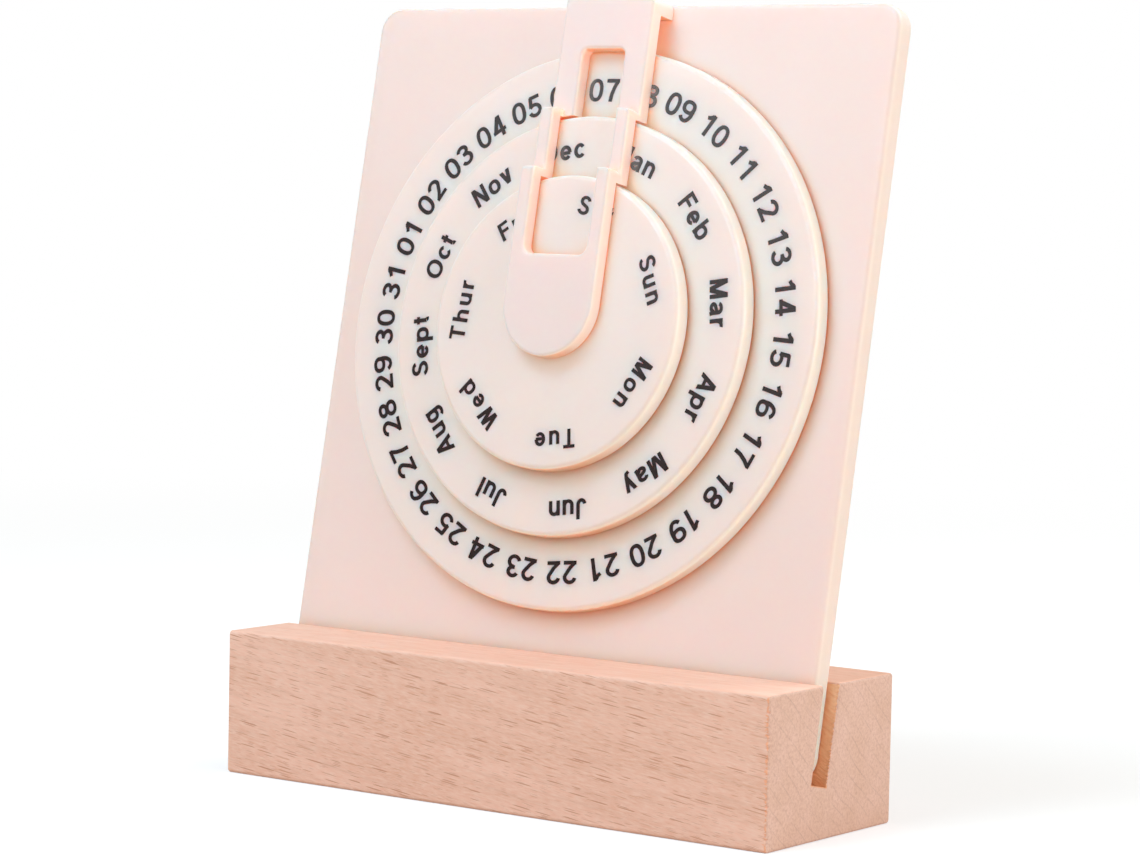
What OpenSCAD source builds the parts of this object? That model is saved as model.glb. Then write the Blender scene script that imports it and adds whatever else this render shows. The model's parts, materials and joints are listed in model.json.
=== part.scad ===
// Perpetual desk calendar: a leaning plate stands in a slotted wooden block
// and carries three stacked dials behind one stepped window strip.
// Millimetres. Origin: centre of the block's underside. +X right, +Y back, +Z up.

/* [Block] */
// Length of the wooden block, left to right
block_w = 131; // [120:1:160]
// Depth of the wooden block, front to back
block_d = 43; // [36:1:60]
// Height of the wooden block
block_h = 29; // [24:1:40]
// Rounding of the block's edges
block_edge = 0.6; // [0.2:0.1:1.5]

/* [Slot] */
// Lean of the slot and of the plate, back from upright
lean = 11; // [4:0.5:16]
// Depth of the slot along its lean, at the front wall
slot_depth = 18.6; // [12:0.2:20]
// Distance from the block's front face to the slot's mouth
slot_front = 18.4; // [14:0.2:24]
// Bevel along the slot's mouth
slot_bevel = 0.4; // [0.2:0.1:1]
// Play between the slot's front wall and the plate
front_play = 0.4; // [0.3:0.1:1]
// Play between the plate and the slot's rear wall
rear_play = 0.3; // [0.3:0.1:1.5]

/* [Plate] */
// Width of the back plate
plate_w = 127; // [118:1:140]
// Height of the back plate along its lean, with the part in the slot
plate_h = 148.4; // [146:0.2:160]
// Thickness of the back plate
plate_t = 4.5; // [3.6:0.1:6]
// Radius of the plate's corners, seen from the front
plate_corner = 5; // [2:0.5:8]
// Rounding of the plate's edges
plate_edge = 1; // [0.3:0.1:1.5]

/* [Dials] */
// Distance from the plate's top edge down to the dials' axis
axis_drop = 65.8; // [62:0.1:68]
// Diameter of the date dial, the rearmost
date_d = 112; // [104:0.5:118]
// Diameter of the month dial, the middle one
month_d = 83.6; // [76:0.2:90]
// Diameter of the weekday dial, the front one
week_d = 58.4; // [52:0.2:64]
// Thickness of each dial
dial_t = 3.3; // [2.6:0.1:4.5]
// Rounding of each dial's front rim
dial_edge = 1; // [0.3:0.1:1.5]
// Space between neighbouring dials, where the washers lie
dial_gap = 0.4; // [0.3:0.05:0.8]

/* [Window strip] */
// Width of the window strip
strip_w = 21.6; // [19:0.2:26]
// Thickness of each level of the strip
strip_t = 2.8; // [2.4:0.1:4]
// Height of the foot that joins the strip to the plate, along the plate
foot_h = 3.2; // [2:0.1:6]
// Width of the window over the date dial
date_window_w = 10.2; // [8:0.1:13]
// Width of the window over the month and weekday dials
name_window_w = 15.2; // [13.4:0.1:16]
// Distance from the dials' axis up to the window's lower edge
window_low = 12.9; // [11:0.1:16]
// Radius of the date window's corners
date_corner = 1.2; // [0.5:0.1:2]
// Radius of the name window's corners
name_corner = 2; // [1:0.1:3]
// Distance of the window's upper edge inside the date dial's rim
window_rim = 0.6; // [0.2:0.1:3]
// Distance that each step of the strip reaches past the dial under it
step_lip = 1.1; // [0.9:0.1:2]
// Gap between a dial's rim and the step that curves round it
rim_gap = 0.5; // [0.3:0.1:0.7]
// Distance from the dials' axis up to the centre of the strip's round end
end_rise = 3.4; // [0:0.1:3.6]
// Rounding of the strip's edges
strip_edge = 0.7; // [0.3:0.1:0.9]
// Radius of the strip's shoulders, seen from the front
shoulder = 1.6; // [1:0.1:2]

/* [Axle] */
// Diameter of the axle post
post_d = 8; // [6:0.5:9]
// Running clearance round the post, on the radius
run_gap = 0.06; // [0.03:0.01:0.09]
// Depth of the strip's blind socket, into which the post is glued
socket_depth = 1; // [1:0.1:1.7]
// Outer diameter of the washers
washer_d = 14; // [12:0.5:14.5]
// Diameter of the screw that holds the post from behind
screw_d = 4; // [3:0.5:4]
// Length of the screw, with its head
screw_l = 11; // [8:0.5:12]
// Diameter of the screw's countersunk head
head_d = 7.6; // [7:0.1:8]
// Height of the screw's countersunk head
head_h = 2.2; // [1.6:0.1:2.4]
// Width of the head's hexagonal socket, across flats
key_w = 2.5; // [2:0.5:2.5]
// Depth of the head's hexagonal socket
key_depth = 1.5; // [1:0.1:1.8]
// Length by which the tapped hole runs on past the screw's tip
tap_spare = 1.5; // [0.5:0.1:2]

/* [Fits] */
// Clearance of the glued and the seated faces
seat_gap = 0.05; // [0.02:0.01:0.1]
// Clearance of the screw in the plate and in the post, on the radius
screw_gap = 0.1; // [0.05:0.05:0.3]

/* [Hidden] */
$fn = 96;
cut = 1;                                    // how far a cutter runs past the face it cuts
wood = [0.87, 0.68, 0.53];
resin = [0.98, 0.90, 0.85];
steel = [0.72, 0.72, 0.74];
nylon = [0.95, 0.95, 0.92];

// The plate's frame: x along the block, y up the lean, z square out of the plate's front.
// Its origin is the middle of the slot's front mouth.
slot_w = front_play + plate_t + rear_play;
plate_low = seat_gap - slot_depth;
plate_top = plate_low + plate_h;
axis_y = plate_top - axis_drop;

// Heights above the plate's front face, along the dials' axis
pitch = dial_t + dial_gap;                  // from one dial's front face to the next
date_z = dial_gap;
month_z = date_z + pitch;
week_z = month_z + pitch;
level_1 = date_z + pitch;                   // underside of the strip's level over the date dial
level_2 = month_z + pitch;
level_3 = week_z + pitch;
strip_top = axis_drop;                      // the strip ends flush with the plate's top edge
step_1 = month_d / 2 + step_lip;            // upper edge of the level over the month dial
step_2 = week_d / 2 + step_lip;
window_top = date_d / 2 - window_rim;
post_top = level_3 + socket_depth - seat_gap;
tap_depth = screw_l - plate_t + tap_spare;

// ---- shared shapes ----

// A rectangle about the origin with round corners
module round_rect(w, h, r) {
    square([w - 2 * r, h], center = true);
    square([w, h - 2 * r], center = true);
    for (sx = [-1, 1], sy = [-1, 1])
        translate([sx * (w / 2 - r), sy * (h / 2 - r)]) circle(r);
}

// A block about the origin with every edge rounded
module soft_block(w, d, h, r) {
    intersection() {
        linear_extrude(h, center = true) round_rect(w, d, r);
        rotate([90, 0, 90]) linear_extrude(w, center = true) round_rect(d, h, r);
        rotate([90, 0, 0]) linear_extrude(d, center = true) round_rect(w, h, r);
    }
}

// A flat panel standing on y = 0 with its front face at z = 0, round corners and soft edges
module soft_panel(w, h, t, corner, edge) {
    translate([0, h / 2, -t / 2]) {
        rotate([90, 0, 0]) linear_extrude(h - 2 * corner, center = true) round_rect(w, t, edge);
        rotate([90, 0, 90]) linear_extrude(w - 2 * corner, center = true) round_rect(h, t, edge);
        for (sx = [-1, 1], sy = [-1, 1])
            translate([sx * (w / 2 - corner), sy * (h / 2 - corner), 0])
                rotate_extrude() intersection() {
                    round_rect(2 * corner, t, edge);
                    translate([0, -t]) square([corner, 2 * t]);
                }
    }
}

// Moves a shape from the plate's frame to the block's
module in_slot() {
    translate([0, slot_front - block_d / 2, block_h]) rotate([90 - lean, 0, 0]) children();
}

// Moves a shape from the dials' axis, with z = 0 on the plate's front face, to the block's frame
module on_axis() {
    in_slot() translate([0, axis_y, -front_play]) children();
}

// ---- block and plate ----

// The slot seen along the block: x back from its front wall, y up the lean
module slot_outline() {
    translate([0, -slot_depth]) square([slot_w, slot_depth + slot_w]);
    // the lean puts the two edges of the mouth at different heights
    for (edge = [[0, 0], [slot_w, slot_w * tan(lean)]])
        translate(edge) rotate(lean + 45) square(slot_bevel * sqrt(2), center = true);
}

module base_block() {
    color(wood) difference() {
        translate([0, 0, block_h / 2]) soft_block(block_w, block_d, block_h, block_edge);
        in_slot() rotate([0, 90, 0])
            linear_extrude(block_w + 2 * cut, center = true) slot_outline();
    }
}

module back_plate() {
    color(resin) in_slot() translate([0, 0, -front_play]) difference() {
        translate([0, plate_low, 0])
            soft_panel(plate_w, plate_h, plate_t, plate_corner, plate_edge);
        translate([0, axis_y, -plate_t - cut])
            cylinder(r = screw_d / 2 + screw_gap, h = plate_t + 2 * cut);
        translate([0, axis_y, -plate_t]) countersink(screw_gap);
    }
}

// ---- dials ----

// One dial on the axis: flat behind, soft front rim, bore running on the post
module dial(d, z) {
    r = d / 2;
    bore = post_d / 2 + run_gap;
    on_axis() translate([0, 0, z]) rotate_extrude($fn = 180) difference() {
        union() {
            square([r - dial_edge, dial_t]);
            square([r, dial_t - dial_edge]);
            translate([r - dial_edge, dial_t - dial_edge]) circle(dial_edge);
        }
        translate([0, -cut]) square([bore, dial_t + 2 * cut]);
    }
}

module date_dial() { color(resin) dial(date_d, date_z); }
module month_dial() { color(resin) dial(month_d, month_z); }
module week_dial() { color(resin) dial(week_d, week_z); }

// ---- window strip ----

// A rectangle of width w standing between two heights, with round upper corners
module arch(w, low, high, r) {
    translate([-w / 2, low]) square([w, high - low - r]);
    translate([r - w / 2, low]) square([w - 2 * r, high - low]);
    for (side = [-1, 1]) translate([side * (w / 2 - r), high - r]) circle(r);
}

// A rectangle between two sides and two heights, with only its right upper corner round
module half_arch(left, right, low, high, r) {
    translate([left, low]) square([right - left, high - low - r]);
    translate([left, low]) square([right - left - r, high - low]);
    translate([right - r, high - r]) circle(r);
}

// Extrudes an (x, z) outline along the strip, from y0 to y1
module along_strip(y0, y1) {
    translate([0, y1, 0]) rotate([90, 0, 0]) linear_extrude(y1 - y0) children();
}

// Extrudes a (y, z) outline across the strip
module across_strip(width) {
    rotate([90, 0, 90]) linear_extrude(width, center = true) children();
}

// One level of the strip, whose sides and upper end are round towards the front
module level(y0, y1, z0, z1) {
    intersection() {
        along_strip(y0, y1) arch(strip_w, z0, z1, strip_edge);
        across_strip(strip_w) half_arch(y0, y1, z0, z1, strip_edge);
        translate([0, 0, z0]) linear_extrude(z1 - z0) arch(strip_w, y0, y1, shoulder);
    }
}

// The room that the strip leaves free for a dial and its rim gap
module dial_room(d, top) {
    translate([0, 0, -cut]) cylinder(r = d / 2 + rim_gap, h = top + cut, $fn = 180);
}

// What rounding the front edges of a slot of the given width takes away, seen along the slot
module flare(width) {
    difference() {
        translate([-width / 2 - strip_edge, -strip_edge])
            square([width + 2 * strip_edge, strip_edge + cut]);
        for (side = [-1, 1]) translate([side * (width / 2 + strip_edge), -strip_edge])
            circle(strip_edge);
    }
}

// A window of width w from y0 up to y1, cut down to z0, with its front edges rounded at top
module window(w, y0, y1, z0, top, corner) {
    h = y1 - y0;
    translate([0, y0 + h / 2, z0]) linear_extrude(top - z0 + cut) round_rect(w, h, corner);
    translate([0, 0, top]) {
        along_strip(y0 + corner, y1 - corner) flare(w);
        translate([0, y0 + h / 2, 0]) across_strip(w - 2 * corner) flare(h);
        for (sx = [-1, 1], y = [y0 + corner, y1 - corner])
            translate([sx * (w / 2 - corner), y, 0]) rotate_extrude() intersection() {
                flare(2 * corner);
                translate([0, -cut]) square([corner + strip_edge, 2 * cut]);
            }
    }
}

// The round end under the windows, centred a little above the axle
module round_end() {
    translate([0, end_rise, 0]) rotate_extrude($fn = 180) intersection() {
        arch(strip_w, level_3, level_3 + strip_t, strip_edge);
        translate([0, level_3]) square([strip_w / 2, strip_t]);
    }
}

module window_strip() {
    color(resin) on_axis() difference() {
        union() {
            // the foot on the plate, then one level in front of each dial
            translate([0, 0, seat_gap]) linear_extrude(level_1)
                arch(strip_w, strip_top - foot_h, strip_top, shoulder);
            level(week_d / 2, strip_top, level_1, level_1 + strip_t);
            level(strip_w / 2, step_1, level_1, level_2 + strip_t);
            level(end_rise, step_2, level_2, level_3 + strip_t);
            round_end();
        }
        // each step curves round the dial that it climbs
        dial_room(month_d, level_2);
        dial_room(week_d, level_3);
        window(date_window_w, step_2, window_top, 0, level_1 + strip_t, date_corner);
        // the wide window lies in front of the first level only
        window(name_window_w, window_low, strip_top, level_1 + strip_t, level_3 + strip_t,
            name_corner);
        translate([0, 0, level_2 + strip_t]) along_strip(step_2, step_1 + cut)
            flare(name_window_w);
        // blind socket for the axle post
        translate([0, 0, level_3 - cut])
            cylinder(r = post_d / 2 + seat_gap, h = cut + socket_depth);
    }
}

// ---- axle ----

// The screw's head as a cone that opens to the rear, grown by gap
module countersink(gap) {
    translate([0, 0, -cut]) cylinder(r = head_d / 2 + gap, h = cut + seat_gap);
    translate([0, 0, seat_gap])
        cylinder(r1 = head_d / 2 + gap, r2 = screw_d / 2 + gap, h = head_h);
}

module axle_post() {
    color(steel) on_axis() difference() {
        translate([0, 0, seat_gap]) cylinder(d = post_d, h = post_top - seat_gap);
        translate([0, 0, -cut])
            cylinder(r = screw_d / 2 + screw_gap, h = cut + tap_depth);
    }
}

module axle_screw() {
    color(steel) on_axis() translate([0, 0, seat_gap - plate_t]) difference() {
        union() {
            cylinder(d1 = head_d, d2 = screw_d, h = head_h);
            cylinder(d = screw_d, h = screw_l);
        }
        translate([0, 0, -cut])
            cylinder(d = key_w / cos(30), h = cut + key_depth, $fn = 6);
    }
}

// A thin washer that fills the gap just behind height z
module washer(z) {
    t = dial_gap - 2 * seat_gap;
    color(nylon) on_axis() translate([0, 0, z - t - seat_gap]) difference() {
        cylinder(d = washer_d, h = t);
        translate([0, 0, -cut]) cylinder(r = post_d / 2 + run_gap, h = t + 2 * cut);
    }
}

module plate_washer() { washer(date_z); }
module date_washer() { washer(month_z); }
module month_washer() { washer(week_z); }
module week_washer() { washer(level_3); }

base_block();
back_plate();
date_dial();
month_dial();
week_dial();
window_strip();
axle_post();
axle_screw();
plate_washer();
date_washer();
month_washer();
week_washer();
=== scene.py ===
# %% [markdown]
# # A perpetual desk calendar
# A resin plate leans in a slotted beech block. Three printed dials turn on it behind a stepped
# window strip. The solids come from the CAD frame, so every place and size is settled before
# Blender starts. This notebook gives them their looks: wood, resin, ink, light and a camera.

# %% Load the frame
import json
import math
import random
from collections import namedtuple

import bpy
from mathutils import Matrix, Vector, noise
from mathutils.geometry import delaunay_2d_cdt


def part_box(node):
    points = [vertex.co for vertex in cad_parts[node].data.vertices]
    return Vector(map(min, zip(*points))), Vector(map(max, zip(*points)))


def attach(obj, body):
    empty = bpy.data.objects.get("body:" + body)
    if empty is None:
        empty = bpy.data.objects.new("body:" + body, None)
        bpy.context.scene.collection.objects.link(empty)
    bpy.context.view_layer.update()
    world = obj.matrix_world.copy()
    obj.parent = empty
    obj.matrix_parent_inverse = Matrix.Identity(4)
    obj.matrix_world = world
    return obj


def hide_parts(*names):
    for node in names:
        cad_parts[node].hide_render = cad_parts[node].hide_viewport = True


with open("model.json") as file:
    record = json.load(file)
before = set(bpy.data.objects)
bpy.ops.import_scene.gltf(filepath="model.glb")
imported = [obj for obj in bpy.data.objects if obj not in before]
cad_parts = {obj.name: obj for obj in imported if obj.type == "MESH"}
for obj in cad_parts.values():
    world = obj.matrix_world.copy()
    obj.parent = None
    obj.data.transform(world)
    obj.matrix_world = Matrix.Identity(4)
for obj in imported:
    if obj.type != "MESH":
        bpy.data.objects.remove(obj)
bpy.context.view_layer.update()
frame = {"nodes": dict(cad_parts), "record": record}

MM = 0.001
print("nodes in the frame:", ", ".join(frame["nodes"]))

# %% [markdown]
# ## The camera
# A photograph fixes where its camera stood. Fitting a camera to the block's corners and the
# dials' rims gave the numbers here: a long lens from the front right, a little above the table,
# held 1.2 degrees off level. A long lens keeps the block's far end nearly as tall as the near one.

# %% Photo camera
CAMERA_SPOT = Vector((0.42200, -0.56988, 0.12358))
CAMERA_AIM = Vector((0.002507, 0.001325, 0.073156))
CAMERA_ROLL = math.radians(1.176)
LENS_MM = 114.566

lens = bpy.data.cameras.new("photo_camera")
lens.sensor_fit = "HORIZONTAL"
lens.sensor_width = 36
lens.lens = LENS_MM
lens.clip_start = 0.01
camera = bpy.data.objects.new("photo_camera", lens)
bpy.context.scene.collection.objects.link(camera)
facing = (CAMERA_AIM - CAMERA_SPOT).to_track_quat("-Z", "Y").to_matrix().to_4x4()
placed = Matrix.Translation(CAMERA_SPOT) @ facing
camera.matrix_world = placed @ Matrix.Rotation(CAMERA_ROLL, 4, "Z")
bpy.context.scene.camera = camera
bpy.context.scene.view_settings.view_transform = "Standard"
print("camera distance in mm:", round((CAMERA_AIM - CAMERA_SPOT).length / MM))

# %% [markdown]
# ## Small helpers for nodes
# A material is a network of nodes. Written out in full, each node takes three or four lines.
# `add` makes a node and fills its sockets in one call: a socket is linked, a number is set. The
# other helpers build on it: `span` rescales a value, `layer` lays one colour over another.

# %% Node helpers
def add(tree, kind, inputs=None, **settings):
    """A new shader node. inputs are by name or place: another node's socket, or a value."""
    made = tree.nodes.new("ShaderNode" + kind)
    for key, value in settings.items():
        setattr(made, key, value)
    for key, value in (inputs or {}).items():
        if isinstance(value, bpy.types.NodeSocket):
            tree.links.new(value, made.inputs[key])
        else:
            made.inputs[key].default_value = value
    return made


def calc(tree, operation, *values, clamp=False):
    """The result socket of a Math node."""
    inputs = dict(enumerate(values))
    return add(tree, "Math", inputs, operation=operation, use_clamp=clamp).outputs[0]


def times(tree, first, second):
    """The product of two values."""
    return calc(tree, "MULTIPLY", first, second)


def dot(tree, first, second):
    """How far one vector reaches along another."""
    made = add(tree, "VectorMath", {0: first, 1: second}, operation="DOT_PRODUCT")
    return made.outputs["Value"]


def cloud(tree, vector, scale=1.0, detail=2.0, rough=0.5):
    """A noise texture's value over the given coordinates, mostly between 0.3 and 0.7."""
    inputs = {"Vector": vector, "Scale": scale, "Detail": detail, "Roughness": rough}
    return add(tree, "TexNoise", inputs).outputs["Fac"]


def blend(tree, amount, first, second):
    """The colour socket that goes from first to second as amount goes from 0 to 1."""
    made = add(tree, "Mix", data_type="RGBA")
    for place, value in ((0, amount), (6, first), (7, second)):
        if isinstance(value, bpy.types.NodeSocket):
            tree.links.new(value, made.inputs[place])
        else:
            made.inputs[place].default_value = value
    return made.outputs[2]


def layer(tree, under, mask, strength, colour):
    """A colour laid over another: as much of it as mask times strength says."""
    return blend(tree, times(tree, mask, strength), under, colour)


def span(tree, value, low, high, to_low=0.0, to_high=1.0, smooth=False):
    """value rescaled so that low becomes to_low and high becomes to_high, and held there."""
    inputs = {0: value, 1: low, 2: high, 3: to_low, 4: to_high}
    kind = "SMOOTHSTEP" if smooth else "LINEAR"
    return add(tree, "MapRange", inputs, interpolation_type=kind, clamp=True).outputs[0]


print("node helpers:", ", ".join(f.__name__ for f in (add, calc, times, dot, cloud, span, layer)))

# %% [markdown]
# Colours are read off the photograph as a screen shows them, but Blender mixes light, and a screen
# level of half isn't half the light. `rgb` turns one into the other.

# %% Colours and materials
def rgb(red, green, blue):
    """A colour as it is read off a screen, 0 to 255, turned into the linear light Blender uses."""
    linear = []
    for level in (red, green, blue):
        share = level / 255
        linear.append(share / 12.92 if level < 10 else ((share + 0.055) / 1.055) ** 2.4)
    return (*linear, 1.0)


def surface(name):
    """A new material with nothing but a Principled shader: (material, tree, shader)."""
    material = bpy.data.materials.new(name)
    material.use_nodes = True
    tree = material.node_tree
    return material, tree, tree.nodes["Principled BSDF"]


def dress(material, *names):
    """Gives CAD nodes a material."""
    for name in names:
        frame["nodes"][name].material_slots[0].material = material


WHITE = (1, 1, 1, 1)
print("cream on screen and in light:", (248, 231, 224), [round(c, 3) for c in rgb(248, 231, 224)])

# %% [markdown]
# ## Table and background
# The object stands on a white table in a white room. The table has to keep the soft shadow, and
# it has to run into the background with no line. So it is a real diffuse sheet near the object,
# which fades for the camera alone into plain white further out, where the world takes over.

# %% White table
TABLE_REACH = 1.6
TABLE_SIDES = 64
SHADOW_REACH = 0.22
FADED_REACH = 0.75
SAND = (0.70, 0.62, 0.55, 1)
PAPER_LIFT = (0.36, 0.44, 0.50, 1)

sheet = bpy.data.meshes.new("white_table")
turns = [math.tau * i / TABLE_SIDES for i in range(TABLE_SIDES)]
ring = [(TABLE_REACH * math.cos(a), TABLE_REACH * math.sin(a), 0) for a in turns]
sheet.from_pydata(ring, [], [range(TABLE_SIDES)])
table = bpy.data.objects.new("white_table", sheet)
bpy.context.scene.collection.objects.link(table)

white_paper, tree, shader = surface("white_paper")
tree.nodes.remove(shader)
place = add(tree, "TexCoord").outputs["Object"]
reach = add(tree, "VectorMath", {0: place}, operation="LENGTH").outputs["Value"]
faded = span(tree, reach, SHADOW_REACH, FADED_REACH, smooth=True)
seen = add(tree, "LightPath").outputs["Is Camera Ray"]
paper = add(tree, "BsdfDiffuse", {"Color": SAND}).outputs[0]
lift = add(tree, "Emission", {"Color": PAPER_LIFT, "Strength": seen}).outputs[0]
lifted = add(tree, "AddShader", {0: paper, 1: lift}).outputs[0]
white = add(tree, "Emission", {"Color": WHITE, "Strength": 1.0}).outputs[0]
gone = times(tree, faded, seen)
mixed = add(tree, "MixShader", {0: gone, 1: lifted, 2: white}).outputs[0]
tree.links.new(mixed, tree.nodes["Material Output"].inputs[0])
sheet.materials.append(white_paper)
print("table reach in mm:", round(TABLE_REACH / MM))

# %% [markdown]
# ## Light
# The photograph's shadows are soft. They fall a little to the right of each dial and further
# below it, so one light stands above the front. A large one at the left front gives the sheen
# that rises towards the plate's top: its lower edge decides where the sheen ends. A third, at the
# right, grazes the front and lights the walls that face right, and a fourth, behind, picks out the
# upper rims. The lamps are cool and the room's own light is warm, so gaps that only the room
# reaches turn peach. The white backdrop stands behind the object, and reflections towards the
# front see a dimmer room.
#
# The real strip lets light through, so it casts hardly any shadow to its right. Light linking
# keeps it from blocking the left softbox alone, which costs nothing and leaves its other shadows.

# %% Room and softboxes
ROOM_FILL = 0.47
ROOM_WARMTH = (0.96, 0.79, 0.63, 1)
BACKDROP_EDGE, BACKDROP_FULL = -0.35, 0.15
LIT_MIDDLE = Vector((0, 0, 0.08))
# name: spot in metres, width, height, watts, colour
SOFTBOXES = {
    "upper_softbox": ((-0.16, -0.36, 0.68), 0.42, 0.36, 3.25, (0.49, 0.75, 1.0)),
    "left_softbox": ((-0.57, -1.17, 0.88), 0.8, 0.7, 6.6, (0.85, 0.94, 0.97)),
    "right_softbox": ((1.15, -0.12, 0.42), 0.8, 0.8, 5.4, (0.92, 0.97, 1.0)),
    "rear_softbox": ((0.40, 0.80, 0.95), 0.6, 0.6, 6.4, (0.80, 0.92, 1.0)),
}

room = bpy.data.worlds.new("white_room")
room.use_nodes = True
bpy.context.scene.world = room
tree = room.node_tree
tree.nodes.remove(tree.nodes["Background"])
path = add(tree, "LightPath").outputs
heading = add(tree, "SeparateXYZ", {0: add(tree, "TexCoord").outputs["Generated"]}).outputs["Y"]
behind = span(tree, heading, BACKDROP_EDGE, BACKDROP_FULL)
mirrored = times(tree, path["Is Glossy Ray"], behind)
through = calc(tree, "MAXIMUM", mirrored, path["Is Transmission Ray"])
seen = calc(tree, "MAXIMUM", path["Is Camera Ray"], through)
fill = add(tree, "Background", {"Color": ROOM_WARMTH, "Strength": ROOM_FILL}).outputs[0]
backdrop = add(tree, "Background", {"Color": WHITE, "Strength": 1.0}).outputs[0]
mixed = add(tree, "MixShader", {0: seen, 1: fill, 2: backdrop}).outputs[0]
tree.links.new(mixed, tree.nodes["World Output"].inputs[0])


def softbox(name, spot, width, height, watts, colour):
    """A rectangular soft light at spot, turned towards the middle of the calendar."""
    lamp = bpy.data.lights.new(name, "AREA")
    lamp.shape = "RECTANGLE"
    lamp.size = width
    lamp.size_y = height
    lamp.energy = watts
    lamp.color = colour
    made = bpy.data.objects.new(name, lamp)
    aim = (LIT_MIDDLE - Vector(spot)).to_track_quat("-Z", "Y").to_matrix().to_4x4()
    made.matrix_world = Matrix.Translation(Vector(spot)) @ aim
    bpy.context.scene.collection.objects.link(made)
    print(name, "radiance:", round(watts / (math.pi * width * height), 2))
    return made


lights = {name: softbox(name, *facts) for name, facts in SOFTBOXES.items()}

let_through = bpy.data.collections.new("lets_left_light_through")
let_through.objects.link(frame["nodes"]["window_strip"])
let_through.collection_objects[0].light_linking.link_state = "EXCLUDE"
lights["left_softbox"].light_linking.blocker_collection = let_through

# %% [markdown]
# ## The lean
# The plate leans back in its slot, and the dials turn about an axle square to it. The record of
# the CAD part holds both directions with its joints. Reading them there keeps the looks in step
# with the motion, where copied numbers could drift apart.

# %% Axle and lean
def pose_of(joint):
    """A joint of the record: (its point or None, its direction)."""
    found = next(j for j in frame["record"]["behaviour"]["joints"] if j["name"] == joint)
    return Vector(found["pos_m"]) if "pos_m" in found else None, Vector(found["axis"])


axle_spot, axle_out = pose_of("date_turn")
plate_up = pose_of("plate_lift")[1]
across = Vector((1, 0, 0))
LEAN = math.asin(axle_out.z)
print("axle leans back by degrees:", round(math.degrees(LEAN), 2))

# %% [markdown]
# ## Cream resin
# The plate, dials and strip are cut from one cast resin. It is satin and slightly translucent:
# light sinks in, travels a few millimetres and comes back redder. Subsurface scattering does
# exactly that, at a scale of 8 mm. Two effects of light that crosses a whole piece are painted
# into the colour, since a scattering model of thin skins misses them: narrow edges are painted
# creamier than the faces, a painted glow, and gaps and undersides are painted a warm orange,
# which is painted shade and painted glow in one. Ambient occlusion tells the shader where a gap
# is. Faint clouding keeps the wide faces from looking like plain paint.

# %% Resin material
RESIN_IOR = 1.49
LIGHT_REACH = 8 * MM
LIGHT_SPREAD = (1.0, 0.25, 0.11)
GAP_REACH = 6 * MM
# The warm orange painted into gaps and undersides: painted shade and painted glow in one.
GAP_SHADE_ORANGE = rgb(252, 186, 140)
# A gap starts where less than this share of the sky is open, and it is at its deepest when
# the share has dropped further by GAP_DROP.
EDGE_SKY, FACE_SKY = 0.44, 0.87
GAP_DROP, GAP_CURVE = 0.45, 1.9
SKY_SAMPLES = 16
# How far undersides go towards the painted gap shade.
UNDERSIDE_SHADE = 0.85


def cast_resin(name, cream, blush, edge_glow):
    """A translucent satin resin: faces in two close tints, edges in a lighter painted glow, gaps in
    painted shade.
    """
    material, tree, shader = surface(name)
    coords = add(tree, "TexCoord").outputs
    place, looks = coords["Object"], coords["Normal"]
    clouds = cloud(tree, place, 45.0, 3.0)
    ahead = calc(tree, "ABSOLUTE", dot(tree, looks, axle_out[:]))
    on_face = span(tree, ahead, 0.5, 0.9)
    face = blend(tree, span(tree, clouds, 0.35, 0.65), cream, blush)
    # Narrow edges get a lighter tint: a painted glow of light through the edge.
    tint = blend(tree, on_face, edge_glow, face)

    # Painted shade and glow: where ambient occlusion finds a gap, and on undersides, the colour
    # turns warm orange.
    sky = add(tree, "AmbientOcclusion", {"Distance": GAP_REACH}, samples=SKY_SAMPLES)
    gap_sky = calc(tree, "MULTIPLY_ADD", on_face, FACE_SKY - EDGE_SKY, EDGE_SKY)
    missing = calc(tree, "SUBTRACT", gap_sky, sky.outputs["AO"])
    in_gap = calc(tree, "DIVIDE", missing, GAP_DROP, clamp=True)
    upward = dot(tree, looks, plate_up[:])
    underside_shade = span(tree, upward, -0.75, -0.95, 0.0, UNDERSIDE_SHADE)
    painted_gap_shade = calc(tree, "MAXIMUM", calc(tree, "POWER", in_gap, GAP_CURVE), underside_shade)
    tint = blend(tree, painted_gap_shade, tint, GAP_SHADE_ORANGE)

    satin = span(tree, cloud(tree, place, 2600.0), 0.2, 0.8, 0.28, 0.30)
    tree.links.new(tint, shader.inputs["Base Color"])
    tree.links.new(satin, shader.inputs["Roughness"])
    shader.inputs["IOR"].default_value = RESIN_IOR
    shader.inputs["Subsurface Weight"].default_value = 1.0
    shader.subsurface_method = "BURLEY"
    shader.inputs["Subsurface Radius"].default_value = LIGHT_SPREAD
    shader.inputs["Subsurface Scale"].default_value = LIGHT_REACH
    return material


# The last colour of each resin is its narrow edges' painted glow.
dial_resin = cast_resin("dial_resin", rgb(239, 220, 211), rgb(239, 219, 209), rgb(254, 246, 236))
strip_resin = cast_resin("strip_resin", rgb(228, 215, 209), rgb(228, 214, 207), rgb(251, 237, 226))
plate_resin = cast_resin("plate_resin", rgb(232, 215, 206), rgb(232, 214, 204), rgb(240, 230, 220))
dress(dial_resin, "date_dial", "month_dial", "week_dial")
dress(strip_resin, "window_strip")
dress(plate_resin, "back_plate")
print("light travels in the resin, mm:", [round(s * LIGHT_REACH / MM, 1) for s in LIGHT_SPREAD])

# %% [markdown]
# ## Hidden metal and nylon
# The axle, its screw and the washers hardly show, except the screw's head behind the plate. They
# still get a finish: turned steel with fine rings round the axle, and smooth off-white nylon.

# %% Steel and nylon
TURNING_MARKS = 42000.0

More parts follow.
